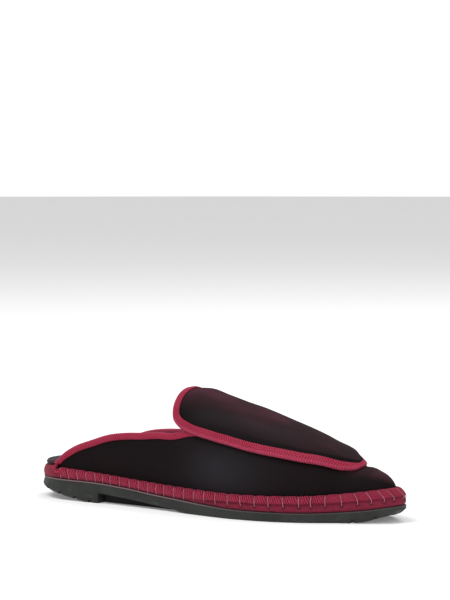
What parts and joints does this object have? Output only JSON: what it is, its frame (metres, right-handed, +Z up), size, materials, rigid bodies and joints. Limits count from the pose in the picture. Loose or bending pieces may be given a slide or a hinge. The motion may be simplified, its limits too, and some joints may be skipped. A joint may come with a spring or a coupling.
{
  "type": "backless velvet slipper",
  "caption": "Backless velvet slipper with a pointed round toe, a raised apron tongue, ribbon-bound edges, a whip-stitched cloth band and a low rubber sole with a hollowed waist.",
  "frame": {"origin": "on the floor, under the middle of the shoe's bounding box", "axes": "+X from the heel to the toe, +Y to the inner (big toe) side, +Z up"},
  "size_m": [0.2482, 0.0786, 0.0716],
  "materials": {
    "rubber": "matt moulded rubber",
    "band_cloth": "dark crimson cloth",
    "lining": "plum-brown footbed cloth",
    "velvet": "black velvet with a plum sheen",
    "ribbon": "ribbed crimson ribbon"
  },
  "bodies": {
    "root": {"outsole": "rubber", "midsole": "band_cloth", "insole": "lining", "upper": "velvet", "seam_tape": "ribbon", "apron": "velvet", "apron_binding": "ribbon", "collar_binding_outer": "ribbon", "collar_binding_inner": "ribbon"}
  },
  "joints": []
}
